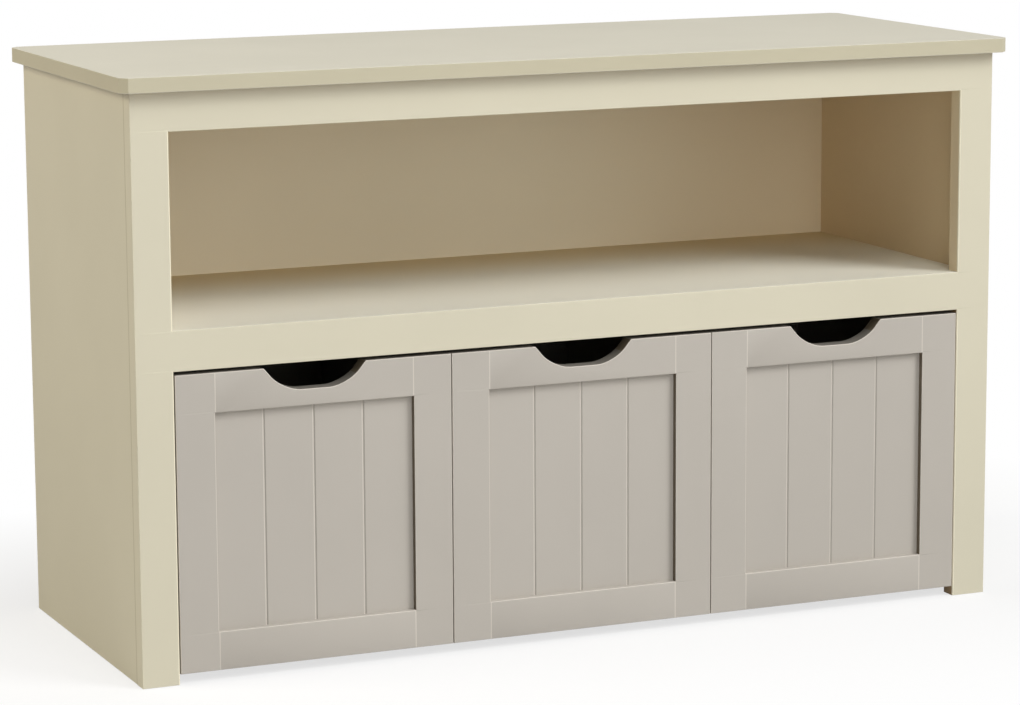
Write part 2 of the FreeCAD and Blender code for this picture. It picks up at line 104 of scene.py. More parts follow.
make_camera()
print("camera: lens", CAMERA_LENS, "mm at", tuple(CAMERA_PLACE))

# %% [markdown]
# ## Writing a material as sums
# A material is a graph of nodes. Wiring it by hand takes many lines, so one small class stands for a wire
# between nodes. Adding, subtracting or multiplying wires puts the right Math node between them, and a plain
# number may stand on either side.

# %% A wire between nodes
class Wire:
    """A value on its way between two nodes, used in sums as a number is."""

    def __init__(self, bench, socket):
        self.bench = bench
        self.socket = socket

    def __add__(self, other):
        return self.bench.math("ADD", self, other)

    def __sub__(self, other):
        return self.bench.math("SUBTRACT", self, other)

    def __rsub__(self, other):
        return self.bench.math("SUBTRACT", other, self)

    def __mul__(self, other):
        return self.bench.math("MULTIPLY", self, other)

    __radd__ = __add__
    __rmul__ = __mul__


# %% [markdown]
# ## A bench for each material
# A bench holds the nodes of one material, as a work bench holds what is being made. Its method `add` makes
# any node: its type, its settings, then the values or wires of its sockets. The other methods name the few
# nodes that these materials need, such as a noise, a blend of two colours and a bump.

# %% A bench for materials
class Bench:
    """The nodes of one material, or of the world."""

    def __init__(self, owner):
        self.owner = owner
        self.owner.use_nodes = True
        self.tree = self.owner.node_tree
        self.tree.nodes.clear()

    def add(self, kind, settings=None, values=None, out=0):
        node = self.tree.nodes.new(kind)
        for name, setting in (settings or {}).items():
            setattr(node, name, setting)
        for name, value in (values or {}).items():
            if isinstance(value, Wire):
                self.tree.links.new(value.socket, node.inputs[name])
            else:
                node.inputs[name].default_value = value
        return Wire(self, node.outputs[out]) if node.outputs else None

    def math(self, operation, *values):
        return self.add("ShaderNodeMath", {"operation": operation}, dict(enumerate(values)))

    def vector_math(self, operation, *values, out=0):
        return self.add("ShaderNodeVectorMath", {"operation": operation}, dict(enumerate(values)), out)

    def part(self, vector, axis):
        """The number of a vector along one axis."""
        return self.add("ShaderNodeSeparateXYZ", None, {0: vector}, out=axis)

    def place(self, stretch=(1, 1, 1)):
        """Where a point lies on the object, in metres, stretched along the three axes."""
        spot = self.add("ShaderNodeTexCoord", out="Object")
        return self.add("ShaderNodeMapping", None, {"Vector": spot, "Scale": stretch})

    def noise(self, place, scale, detail):
        """Soft random hills between 0 and 1. The scale is in hills for each metre."""
        return self.add("ShaderNodeTexNoise", None, {"Vector": place, "Scale": scale, "Detail": detail})

    def spread(self, value, low, high, to_low=0.0, to_high=1.0, pace="LINEAR"):
        """Maps the stretch from low to high onto another one, and holds it there outside."""
        return self.add("ShaderNodeMapRange", {"clamp": True, "interpolation_type": pace},
                        {"Value": value, "From Min": low, "From Max": high,
                         "To Min": to_low, "To Max": to_high})

    def blend(self, share, first, second):
        return self.add("ShaderNodeMix", {"data_type": "RGBA"}, {0: share, 6: first, 7: second}, out=2)

    def bump(self, height, reach):
        """Turns a height between 0 and 1 into a surface that stands up to reach metres proud."""
        return self.add("ShaderNodeBump", None, {"Height": height, "Distance": reach, "Strength": 1.0})

    def finish(self, values):
        self.add_output(self.add("ShaderNodeBsdfPrincipled", None, values))
        return self.owner

    def add_output(self, shader, kind="ShaderNodeOutputMaterial"):
        self.add(kind, None, {"Surface": shader})


def new_material(name):
    return Bench(bpy.data.materials.new(name))


def colour(red, green, blue):
    """A screen colour from 0 to 255 as the linear colour that a shader takes, by the sRGB curve."""
    def linear(level):
        share = level / 255
        return share / 12.92 if share <= 0.04045 else ((share + 0.055) / 1.055) ** 2.4
    return (linear(red), linear(green), linear(blue), 1.0)


# %% [markdown]
# ## Satin paint on board
# Sprayed furniture paint is smooth but never perfect. It has broad clouds of slightly deeper colour, a
# fine skin like orange peel that breaks up the shine, and a gloss that drifts a little over each board.
# The clouds drive the colour, the same clouds and a finer noise drive the roughness, and the skin is a
# tiny bump. Where shade falls towards one end of a board, the paint fades along one axis to a far tint,
# which is painted shade.
# A frame's paint also has a second, paler and glossier version for its eased edges and joints, which is
# a painted highlight.

# %% Satin paint
# How much paler the painted highlight on eased edges and joints is.
HIGHLIGHT_LIFT = 1.3
CLOUD_LIFT = 0.97
CLOUD_RANGE = (0.35, 0.65)
CLOUD_SCALE, SKIN_SCALE, DUST_SCALE = 5.0, 420.0, 1900.0
SKIN_SHARE, DUST_SHARE = 0.8, 0.2
SKIN_HEIGHT = 0.03 * MM
SATIN, SEMI_GLOSS = 0.52, 0.45
PAINT_IOR = 1.45


def lifted(tint, share):
    """A paler or deeper version of a colour: each channel times a share."""
    return tuple(min(1.0, channel * share) for channel in tint[:3]) + (1.0,)


def make_paint(name, tint, gloss_roughness=SATIN, painted_shade_tint=None, fade=()):
    """Satin paint. A fade is an axis and two places on it, between which the painted shade tint takes over.
    """
    bench = new_material(name)
    place = bench.place()
    clouds = bench.noise(place, CLOUD_SCALE, detail=3.0)
    skin = bench.noise(place, SKIN_SCALE, detail=2.0)
    dust = bench.noise(place, DUST_SCALE, detail=1.0)
    shade = bench.blend(bench.spread(clouds, *CLOUD_RANGE), tint, lifted(tint, CLOUD_LIFT))
    if painted_shade_tint:
        axis, near, far = fade
        share = bench.spread(bench.part(place, axis), near, far, pace="SMOOTHSTEP")
        shade = bench.blend(share, shade, painted_shade_tint)
    roughness = gloss_roughness + clouds * 0.06 + dust * 0.05
    normal = bench.bump(skin * SKIN_SHARE + dust * DUST_SHARE, SKIN_HEIGHT)
    return bench.finish({"Base Color": shade, "Roughness": roughness, "Normal": normal, "IOR": PAINT_IOR})


def make_paints(name, tint):
    """A frame's paint, and a paler, slightly glossier copy for its eased edges and joints: a painted
    highlight.
    """
    return make_paint(name, tint), make_paint(f"{name}_edge", lifted(tint, HIGHLIGHT_LIFT), SEMI_GLOSS)


# %% [markdown]
# ## The cabinet's paints
# The cabinet has one cream, but its boards get different paints. The top, the shelf and the back panel are
# painted paler, as painted light, and sawn edges deeper. Faces in shade are painted deeper and warmer, as
# painted shade: the insides of the side boards, the underside of the top, and the walls of the box fronts'
# recesses and dips that face left, away from the key lamp. The shelf turns deeper and warmer towards its
# back and the back panel towards its right end, also as painted shade.

# %% Paints
FRAME_CREAM = colour(211, 205, 183)
# The top is a little paler and cooler than the frame: painted light, for the sheen on it.
TOP_LIT_CREAM = colour(214, 210, 194)
# Painted shade: the underside of the top, and the uprights' faces beside the toy boxes.
UNDER_SHADE_CREAM = colour(165, 137, 98)
# The shelf is painted pale as painted light, and deeper and warmer towards its back as painted shade.
SHELF_LIT_CREAM = colour(238, 236, 221)
SHELF_SHADE_CREAM = colour(212, 194, 152)
SAWN_CREAM = colour(192, 185, 160)
# The back panel is painted pale as painted light, and deeper towards its right end as painted shade.
BACK_LIT_CREAM = colour(242, 231, 203)
BACK_SHADE_CREAM = colour(232, 215, 181)
# Painted shade on the inner faces of the side boards.
INSIDE_SHADE_CREAM = colour(228, 207, 170)
GREY = colour(183, 177, 168)
# Painted shade on the box fronts' sawn tops, in the gap above them, and in the dip.
SHADED_SAWN_GREY = colour(125, 120, 112)
# Painted shade on the walls of the box fronts' recesses and dips that face left.
RECESS_SHADE_GREY = colour(104, 93, 77)
BOX_GREY = colour(152, 146, 138)
# Groove flanks: a painted highlight on the left one and painted shade on the right one.
GROOVE_HIGHLIGHT_LIFT = 1.2
GROOVE_SHADE_LIFT = 0.88
shelf_low, shelf_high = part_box("shelf_board")
SHELF_SHADE_FADE = (Y, (shelf_low.y + shelf_high.y) / 2, shelf_high.y)
BACK_SHADE_FADE = (X, 0.05, 0.42)
frame_paint, frame_highlight_paint = make_paints("frame_cream", FRAME_CREAM)
top_lit_paint = make_paint("top_lit_cream", TOP_LIT_CREAM)
under_shade_paint = make_paint("under_shade_cream", UNDER_SHADE_CREAM)
shelf_light_and_shade_paint = make_paint("shelf_light_and_shade_cream", SHELF_LIT_CREAM, painted_shade_tint=SHELF_SHADE_CREAM, fade=SHELF_SHADE_FADE)
sawn_paint = make_paint("sawn_edge_cream", SAWN_CREAM)
back_light_and_shade_paint = make_paint("back_light_and_shade_cream", BACK_LIT_CREAM, painted_shade_tint=BACK_SHADE_CREAM, fade=BACK_SHADE_FADE)
inside_shade_paint = make_paint("inside_shade_cream", INSIDE_SHADE_CREAM)
grey_paint, grey_highlight_paint = make_paints("front_grey", GREY)
shaded_sawn_grey_paint = make_paint("shaded_sawn_edge_grey", SHADED_SAWN_GREY)
recess_shade_paint = make_paint("recess_shade_grey", RECESS_SHADE_GREY)
groove_highlight_paint = make_paint("groove_highlight_grey", lifted(GREY, GROOVE_HIGHLIGHT_LIFT))
groove_shade_paint = make_paint("groove_shade_grey", lifted(GREY, GROOVE_SHADE_LIFT))
box_paint = make_paint("box_paint", BOX_GREY)
print("paints:", [material.name for material in bpy.data.materials])

# %% [markdown]
# ## Bare wood
# Hidden parts are left unpainted. The battens and back rails are sawn pine, whose grain runs along the
# board, so its noise is stretched along the X axis or the Y axis. Growth rings are a sine of the broad
# noise, and a finer noise lays fibres over them.

# %% Bare wood
PINE = colour(214, 184, 138)
PINE_DARK = colour(186, 147, 98)
BEECH = colour(205, 172, 128)
BEECH_DARK = colour(183, 146, 103)
WOOD_DRIFT_SCALE, WOOD_FIBRE_SCALE = 60.0, 420.0
WOOD_RINGS = 34.0
GRAIN_RANGE = (0.1, 0.95)
WOOD_HEIGHT = 0.12 * MM
WOOD_ROUGHNESS = 0.62


def make_wood(name, pale, dark, along):
    """Sawn wood. Along stretches the three axes, by a small number on the one that the grain follows."""
    bench = new_material(name)
    drift = bench.noise(bench.place(along), WOOD_DRIFT_SCALE, detail=3.0)
    fibre = bench.noise(bench.place(along), WOOD_FIBRE_SCALE, detail=2.0)
    ring = bench.math("SINE", drift * WOOD_RINGS)
    grain = ring * 0.25 + 0.5 + (fibre - 0.5) * 0.7
    shade = bench.blend(bench.spread(grain, *GRAIN_RANGE), pale, dark)
    return bench.finish({"Base Color": shade, "Roughness": fibre * 0.2 + WOOD_ROUGHNESS,
                         "Normal": bench.bump(fibre, WOOD_HEIGHT)})


pine_along_width = make_wood("pine_along_width", PINE, PINE_DARK, (0.04, 1.0, 1.0))
pine_along_depth = make_wood("pine_along_depth", PINE, PINE_DARK, (1.0, 0.04, 1.0))
dowel_wood = make_wood("dowel_wood", BEECH, BEECH_DARK, (0.05, 1.0, 1.0))
print("bare wood:", pine_along_width.name, pine_along_depth.name, dowel_wood.name)

# %% [markdown]
# ## Steel and nylon
# The castor brackets are pressed steel with a thin zinc coat. Zinc shows faint crystals, so random cells
# a few millimetres wide go into its roughness and colour. The wheels are dark grey nylon, with fine marks
# round the tread from rolling.

# %% Steel and nylon
STEEL = colour(188, 190, 192)
STEEL_DARK = colour(160, 163, 167)
NYLON = colour(66, 67, 70)
NYLON_SCUFFED = colour(92, 92, 94)
CRYSTAL_SCALE, HAZE_SCALE = 330.0, 90.0
ZINC_HEIGHT = 0.04 * MM
SCUFF_SCALE, GRAIN_SCALE = 900.0, 1500.0
SCUFF_RANGE = (0.55, 0.75)
NYLON_HEIGHT = 0.03 * MM
NYLON_ROUGHNESS = 0.42


def make_zinc(name, roughness):
    bench = new_material(name)
    place = bench.place()
    crystals = bench.add("ShaderNodeTexVoronoi", {"feature": "F1"},
                         {"Vector": place, "Scale": CRYSTAL_SCALE}, out="Color")
    facet = bench.add("ShaderNodeSeparateColor", None, {"Color": crystals})
    haze = bench.noise(place, HAZE_SCALE, detail=4.0)
    shade = bench.blend(facet * 0.5 + haze * 0.5, STEEL, STEEL_DARK)
    return bench.finish({"Base Color": shade, "Metallic": 1.0,
                         "Roughness": facet * 0.1 + haze * 0.12 + roughness,
                         "Normal": bench.bump(haze, ZINC_HEIGHT)})


def make_nylon():
    bench = new_material("wheel_nylon")
    scuffs = bench.noise(bench.place((1.0, 0.2, 0.2)), SCUFF_SCALE, detail=3.0)
    grain = bench.noise(bench.place(), GRAIN_SCALE, detail=2.0)
    worn = bench.spread(scuffs, *SCUFF_RANGE)
    return bench.finish({"Base Color": bench.blend(worn * 0.5, NYLON, NYLON_SCUFFED),
                         "Roughness": worn * 0.2 + NYLON_ROUGHNESS,
                         "Normal": bench.bump(grain, NYLON_HEIGHT)})


pressed_steel = make_zinc("pressed_steel", 0.22)
screw_steel = make_zinc("screw_steel", 0.16)
wheel_nylon = make_nylon()
print("hardware:", pressed_steel.name, screw_steel.name, wheel_nylon.name)

# %% [markdown]
# ## Shaping a board
# Nearly every piece is a sawn board with eased edges. A cube is added at the board's size and place and
# then worked in edit mode. An operator acts on all that is selected, so the vertices, edges or faces that
# it should work on are picked first, by a test of where they are or which way they look.

# %% Adding a board and picking its parts
def add_board(name, low, high):
    """Adds a cube with the size and place of a board, between its lowest and highest corners in metres."""
    low, high = Vector(low), Vector(high)
    bpy.ops.object.select_all(action="DESELECT")
    bpy.ops.mesh.primitive_cube_add(size=1, location=(low + high) / 2, scale=high - low)
    board = bpy.context.object
    board.name = board.data.name = name
    bpy.ops.object.transform_apply(location=True, rotation=True, scale=True)
    return board


def make_active(piece):
    bpy.ops.object.select_all(action="DESELECT")
    piece.select_set(True)
    bpy.context.view_layer.objects.active = piece


def pick(piece, kind, test):
    """Goes into edit mode and selects the vertices, edges or faces that pass a test."""
    if piece.mode == "OBJECT":
        make_active(piece)
        bpy.ops.object.mode_set(mode="EDIT")
    bpy.ops.mesh.select_mode(type=kind)
    bpy.ops.mesh.select_all(action="DESELECT")
    mesh = bmesh.from_edit_mesh(piece.data)
    parts = {"VERT": mesh.verts, "EDGE": mesh.edges, "FACE": mesh.faces}[kind]
    for part in parts:
        if test(part):
            part.select_set(True)
    bmesh.update_edit_mesh(piece.data)


def leave_edit_mode():
    bpy.ops.object.mode_set(mode="OBJECT")


# %% [markdown]
# ## Telling edges and faces apart
# On a board nearly every edge lies along an axis and nearly every face is square to one, so a few short
# tests find them. Places and directions are never exact in a mesh, so each test leaves some tolerance.

# %% Tests for edges and faces
TOLERANCE = 0.05 * MM
STRAIGHT = 0.999
# How much of a face's normal lies along an axis: when the face is square to the axis, when it looks along
# it, when it hardly does, and when it doesn't at all.
SQUARE, FACING, HARDLY, NOT_AT_ALL = 0.99, 0.9, 0.1, 0.01


def runs_along(edge, axis):
    """True for an edge that lies along one axis."""
    run = edge.verts[0].co - edge.verts[1].co
    return abs(run[axis]) > STRAIGHT * run.length


def middle_of(edge):
    return (edge.verts[0].co + edge.verts[1].co) / 2


def close(first, second):
    return abs(first - second) < TOLERANCE


def slanted(face):
    """True for a face that is square to none of the three axes, as the faces of a round are."""
    return max(abs(share) for share in face.normal) < SQUARE


# %% [markdown]
# ## Soft edges
# A real edge is never perfectly sharp: the paint rounds it by up to a millimetre or two, and that thin
# round is what catches the light. The Bevel modifier finds all sharp edges by their angle, and its
# hardened normals keep the broad faces shaded flat. Where only some edges are eased, they are picked and
# bevelled in edit mode, and weighted normals keep the broad faces flat.

# %% Rounding and shading
SHARP_ANGLE = math.radians(25)
SMOOTH_ANGLE = math.radians(40)
FULL_WEIGHT = 100


def round_picked(width, segments=3):
    bpy.ops.mesh.bevel(offset=width, segments=segments, affect="EDGES")


def slice_board(piece, axis, *places):
    """Adds a loop of edges round a board at each place along an axis."""
    for place in places:
        pick(piece, "FACE", lambda face: True)
        middle, normal = Vector(), Vector()
        middle[axis], normal[axis] = place, 1
        bpy.ops.mesh.bisect(plane_co=middle, plane_no=normal)


def soften(piece, width, segments=3):
    """Rounds every sharp edge of a finished shape by its width. The rounds get its second material."""
    make_active(piece)
    bpy.ops.object.shade_smooth()
    bevel = piece.modifiers.new("soft_edges", "BEVEL")
    bevel.width = width
    bevel.segments = segments
    bevel.limit_method = "ANGLE"
    bevel.angle_limit = SHARP_ANGLE
    bevel.harden_normals = True
    bevel.material = 1
    bpy.ops.object.modifier_apply(modifier=bevel.name)


def settle_shading(piece):
    """Shades rounds smooth and broad faces flat, on a piece whose other edges stay square."""
    make_active(piece)
    bpy.ops.object.shade_smooth_by_angle(angle=SMOOTH_ANGLE)
    weighted = piece.modifiers.new("weighted_normals", "WEIGHTED_NORMAL")
    weighted.weight = FULL_WEIGHT
    weighted.keep_sharp = True
    bpy.ops.object.modifier_apply(modifier=weighted.name)


# %% [markdown]
# ## Fitting and painting
# A finished board gets its paints and is tied to its place in the frame: the body that it moves with and
# the imported node that it stands for. Single faces then get another paint.

# %% Fitting and painting a board
def fit(piece, body, slot, paints, *nodes):
    """Sets a painted piece on its body and lets it stand for its CAD nodes."""
    for paint in paints:
        piece.data.materials.append(paint)
    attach(piece, body)
    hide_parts(*nodes)
    return piece


def paint_picked(piece, paint, test):
    """Gives the faces that pass a test another paint."""
    if paint.name not in piece.data.materials:
        piece.data.materials.append(paint)
    pick(piece, "FACE", test)
    piece.active_material_index = piece.data.materials.find(paint.name)
    bpy.ops.object.material_slot_assign()
    leave_edit_mode()


# %% [markdown]
# ## The top board
# A thick board overhangs the cabinet all round. Its four corners are sawn off at 45 degrees so that no
# child meets a sharp one. Only the four upright edges are selected for that, and one straight bevel cuts
# them. The sawn edge is painted deeper than the top. The underside is painted a deep warm brown, which is
# painted shade: it darkens the shadow under the overhang.

# %% Top board
TOP_CLIP = 8 * MM
TOP_ROUND = 0.5 * MM
top_board = add_board("painted_top_board", *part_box("top_board"))
pick(top_board, "EDGE", lambda edge: runs_along(edge, Z))
round_picked(TOP_CLIP, segments=1)
leave_edit_mode()
soften(top_board, TOP_ROUND)
fit(top_board, "carcass", "cream_paint", (top_lit_paint, sawn_paint), "top_board")
paint_picked(top_board, sawn_paint, lambda face: abs(face.normal.z) < HARDLY)
# The underside gets painted shade.
paint_picked(top_board, under_shade_paint, lambda face: face.normal.z < -SQUARE)
print("top board:", len(top_board.data.polygons), "faces")

# %% [markdown]
# ## The face frame
# Two uprights stand in front of the side boards, and two rails are dowelled between them. The frame is
# glued before it is painted, so the joints are filled, and only the edges round the openings are eased.
# Each upright is therefore sliced at the rails, and its inner edge is rounded only where it is free. A
# second slice close by lets the round run out in a short taper, so the broad face beside it stays flat.

# %% Easing the edges of a frame
ROUND_TAPER = 1.5 * MM


def ease_front(board, width, test):
    """Rounds the edges in a board's front plane that pass a test."""
    front = min(vertex.co.y for vertex in board.data.vertices)
    pick(board, "EDGE", lambda edge: all(close(vertex.co.y, front) for vertex in edge.verts) and test(edge))
    round_picked(width)
    leave_edit_mode()


def ease_inner_edge(stile, x, stretches, width):
    """Rounds a stile's upright front edge at x, only within the given stretches of height."""
    for base, top in stretches:
        slice_board(stile, Z, base - ROUND_TAPER, base, top, top + ROUND_TAPER)
    leave_edit_mode()
    ease_front(stile, width, lambda edge: runs_along(edge, Z) and close(middle_of(edge).x, x)
               and any(base < middle_of(edge).z < top for base, top in stretches))


# %% [markdown]
# ## The uprights of the face frame
# Their edges round the openings are eased more than the outer ones, and those rounds get the painted
# highlight. Their inner faces are painted like the walls of the space beside them: with the back panel's
# painted light and shade beside the shelf, and with the painted shade of the top's underside beside the
# toy boxes.

# %% Uprights of the face frame
FRAME_ROUND = 1.6 * MM
OUTER_ROUND = 0.4 * MM


def paint_inner_face(stile, x, paint, base, top):
    """Gives a stile's face beside an opening another paint, between two heights."""
    paint_picked(stile, paint, lambda face: abs(face.normal.x) > SQUARE
                 and close(face.calc_center_median().x, x) and base < face.calc_center_median().z < top)


def inner_and_outer(side, low, high):
    """Where a stile's inner and outer faces lie on X. A left stile's inner face is its right one."""
    return (high.x, low.x) if side == "left" else (low.x, high.x)


def make_stile(side):
    node = f"{side}_front_stile"
    low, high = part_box(node)
    inner_x, outer_x = inner_and_outer(side, low, high)
    middle_low, middle_high = (corner.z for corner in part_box("middle_front_rail"))
    openings = ((low.z, middle_low), (middle_high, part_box("top_front_rail")[0].z))
    stile = add_board(f"painted_{node}", low, high)
    ease_front(stile, OUTER_ROUND, lambda edge: close(middle_of(edge).x, outer_x))
    ease_inner_edge(stile, inner_x, openings, FRAME_ROUND)
    settle_shading(stile)
    fit(stile, "carcass", "cream_paint", (frame_paint, frame_highlight_paint), node)
    # The rounds of the openings get the painted highlight.
    paint_picked(stile, frame_highlight_paint, lambda face: slanted(face)
                 and abs(face.calc_center_median().x - inner_x) < FRAME_ROUND)
    # The inner faces get the painted light and shade of the walls beside them.
    paint_inner_face(stile, inner_x, back_light_and_shade_paint, middle_high, high.z)
    paint_inner_face(stile, inner_x, under_shade_paint, low.z, middle_low)
    return stile


for side in ("left", "right"):
    stile = make_stile(side)
    print(stile.name, len(stile.data.polygons), "faces")

# %% [markdown]
# ## The rails of the face frame
# The middle rail also carries the front edge of the shelf. That edge is rounded in more steps, because
# hands and toys slide over it, and its top is painted like the shelf.

# %% Rails of the face frame
LIP_ROUND = 1.2 * MM
LIP_TOP = 0.8


def make_frame_rail(node, top_round=None):
    low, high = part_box(node)
    rail = add_board(f"painted_{node}", low, high)
    for width, level in ((top_round, high.z), (OUTER_ROUND, low.z)):
        if width:
            pick(rail, "EDGE", lambda edge: runs_along(edge, X) and close(middle_of(edge).y, low.y)
                 and close(middle_of(edge).z, level))
            round_picked(width, segments=5)
    leave_edit_mode()
    settle_shading(rail)
    return fit(rail, "carcass", "cream_paint", (frame_paint, frame_highlight_paint), node)


make_frame_rail("top_front_rail")
middle_rail = make_frame_rail("middle_front_rail", top_round=LIP_ROUND)
# Its top gets the shelf's paint, whose paleness is painted light.
paint_picked(middle_rail, shelf_light_and_shade_paint, lambda face: face.normal.z > LIP_TOP)
print("face frame: two rails, the middle one of", len(middle_rail.data.polygons), "faces")

# %% [markdown]
# ## Side boards and shelf
# These are plain boards, so what makes them real is their edges and their fit. Each side board meets its
# stile in a faint dark line, where the sawn edge shows, and stands straight on the floor. Inside, the cream
# is painted warmer and deeper, as painted shade. The shelf lies level with the middle rail's top edge.

# %% Side boards and shelf
SAWN_ROUND = 0.8 * MM
SAWN_LINE = 2.5 * MM
for node, inward in (("left_side_panel", 1), ("right_side_panel", -1)):
    low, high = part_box(node)
    side_board = add_board(f"painted_{node}", low, high)
    slice_board(side_board, Y, low.y + SAWN_LINE)
    leave_edit_mode()
    soften(side_board, SAWN_ROUND, segments=2)
    fit(side_board, "carcass", "cream_paint", (frame_paint, sawn_paint), node)
    paint_picked(side_board, sawn_paint, lambda face: face.calc_center_median().y < low.y + SAWN_LINE)
    # The inner face gets painted shade.
    paint_picked(side_board, inside_shade_paint, lambda face: face.normal.x * inward > FACING)
shelf_board = add_board("painted_shelf_board", shelf_low, shelf_high)
settle_shading(shelf_board)
# The shelf's paint is painted light at the front and painted shade at the back.
fit(shelf_board, "carcass", "cream_paint", (shelf_light_and_shade_paint,), "shelf_board")
print("side boards and shelf fitted")

# %% [markdown]
# ## Box fronts: the frame
# Each toy box shows a frame of two stiles and two rails round a recessed panel. The stiles run the full
# height. All edges of the front are eased by the same small round, and the rounds are painted paler, as a
# painted highlight. A fine pale line, also a painted highlight, shows where each rail meets a stile. The
# sawn tops are painted deeper, as painted shade for the gap above them, and so is the wall of the recess
# that faces left, away from the key lamp.

# %% Front stiles
FRONT_ROUND = 0.8 * MM


def make_front_stile(bin_name, side):
    node = f"{bin_name}_front_{side}_stile"
    low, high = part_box(node)
    inner_x = inner_and_outer(side, low, high)[0]
    recess = (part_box(f"{bin_name}_front_bottom_rail")[1].z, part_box(f"{bin_name}_front_top_rail")[0].z)
    stile = add_board(f"painted_{node}", low, high)
    ease_front(stile, FRONT_ROUND, lambda edge: not close(middle_of(edge).x, inner_x))
    ease_inner_edge(stile, inner_x, (recess,), FRONT_ROUND)
    settle_shading(stile)
    fit(stile, bin_name, "grey_paint", (grey_paint, grey_highlight_paint), node)
    # The rounds that don't face down get the painted highlight.
    paint_picked(stile, grey_highlight_paint, lambda face: slanted(face) and face.normal.z > -HARDLY)
    # The right stile's inner face, which faces left, gets the recess's painted shade.
    if side == "right":
        paint_inner_face(stile, inner_x, recess_shade_paint, *recess)
    # The sawn top gets painted shade for the gap above it.
    paint_picked(stile, shaded_sawn_grey_paint, lambda face: face.normal.z > SQUARE)


# %% [markdown]
# ## Box fronts: the bottom rails
# The rails are as long as the gap between the stiles, so their length is read from the stiles' places.
# The board is sliced near both ends, so that each end's narrow face can get the painted highlight of the
# joint.

# %% Bottom rails
JOINT_LINE = 1.2 * MM


def stile_gap(bin_name):
    """Where the gap between a box front's two stiles begins and ends on X."""
    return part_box(f"{bin_name}_front_left_stile")[1].x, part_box(f"{bin_name}_front_right_stile")[0].x


def between_stiles(bin_name, node):
    """The corners of a rail without its hidden tenons, from the inner face of one stile to the other's."""
    low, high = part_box(node)
    low.x, high.x = stile_gap(bin_name)
    return low, high


def draw_joint_lines(rail, low, high):
    """Paints a fine pale line, a painted highlight, at both ends of a rail's front."""
    first, last = low.x + JOINT_LINE, high.x - JOINT_LINE
    slice_board(rail, X, first, last)
    leave_edit_mode()
    paint_picked(rail, grey_highlight_paint, lambda face: face.normal.y < -FACING
                 and not first < face.calc_center_median().x < last)


def make_bottom_rail(bin_name):
    node = f"{bin_name}_front_bottom_rail"
    low, high = between_stiles(bin_name, node)
    rail = add_board(f"painted_{node}", low, high)
    for level in (high.z, low.z):
        ease_front(rail, FRONT_ROUND, lambda edge: close(middle_of(edge).z, level))
    settle_shading(rail)
    fit(rail, bin_name, "grey_paint", (grey_paint, grey_highlight_paint), node)
    # The upper round gets the painted highlight.
    paint_picked(rail, grey_highlight_paint, lambda face: slanted(face) and face.normal.z > 0)
    draw_joint_lines(rail, low, high)


for bin_name in BINS:
    make_front_stile(bin_name, "left")
    make_front_stile(bin_name, "right")
    make_bottom_rail(bin_name)
print("box fronts: six stiles and three bottom rails")

# %% [markdown]
# ## The scooped hand cut-out
# A shallow dip in the top rail is the handle, so nothing sticks out for a child to run into. A sloped
# cutter with two widely rounded corners is taken away from the rail with a Boolean. The cutter is wider at
# its top, in line with the dip's sloping ends.

# %% The cutter of the hand cut-out
SCOOP_HALF_WIDTH = 57 * MM
SCOOP_FLOOR_HALF_WIDTH = 36 * MM
SCOOP_DEPTH = 25 * MM
SCOOP_RADIUS = 45 * MM
CUTTER_SPARE = 10 * MM
# The angle between the scoop's floor and its sloping ends.
SCOOP_SLOPE = math.atan2(SCOOP_DEPTH, SCOOP_HALF_WIDTH - SCOOP_FLOOR_HALF_WIDTH)


def round_scoop_edges(radius, segments):
    """Rounds the edges where the scoop's slope begins or ends, by a true radius."""
    round_picked(radius * math.tan(SCOOP_SLOPE / 2), segments)


def make_scoop_cutter(middle, low, high):
    cutter = add_board("scoop_cutter",
                       (middle - SCOOP_FLOOR_HALF_WIDTH, low.y - CUTTER_SPARE, high.z - SCOOP_DEPTH),
                       (middle + SCOOP_FLOOR_HALF_WIDTH, high.y + CUTTER_SPARE, high.z + CUTTER_SPARE))
    top_half_width = SCOOP_HALF_WIDTH + CUTTER_SPARE / math.tan(SCOOP_SLOPE)
    pick(cutter, "VERT", lambda vertex: vertex.co.z > high.z)
    bpy.ops.transform.resize(value=(top_half_width / SCOOP_FLOOR_HALF_WIDTH, 1, 1),
                             center_override=(middle, 0, high.z))
    pick(cutter, "EDGE", lambda edge: runs_along(edge, Y) and middle_of(edge).z < high.z)
    round_scoop_edges(SCOOP_RADIUS, segments=14)
    leave_edit_mode()
    return cutter


def cut_away(piece, cutter):
    """Takes a cutter's shape out of a piece, and removes the cutter."""
    make_active(piece)
    cut = piece.modifiers.new("cut", "BOOLEAN")
    cut.operation = "DIFFERENCE"
    cut.solver = "EXACT"
    cut.object = cutter
    bpy.ops.object.modifier_apply(modifier=cut.name)
    bpy.data.objects.remove(cutter)


# %% [markdown]
# ## Box fronts: the top rails
# The sharp lips where the dip meets the top edge are rounded first, and then all edges of the front, whose
# rounds get the painted highlight. The rail's sawn top and the dip are painted deeper as painted shade, and
# the dip's end that faces left deepest.

# %% Top rails
SCOOP_LIP_ROUND = 2 * MM
SCOOP_LIP_REACH = 1.2 * SCOOP_HALF_WIDTH
SCOOP_WALL_SLANT = 0.65


def sawn_through(face):
    """True for a face that runs straight through a board, from its front to its back."""
    return abs(face.normal.y) < NOT_AT_ALL


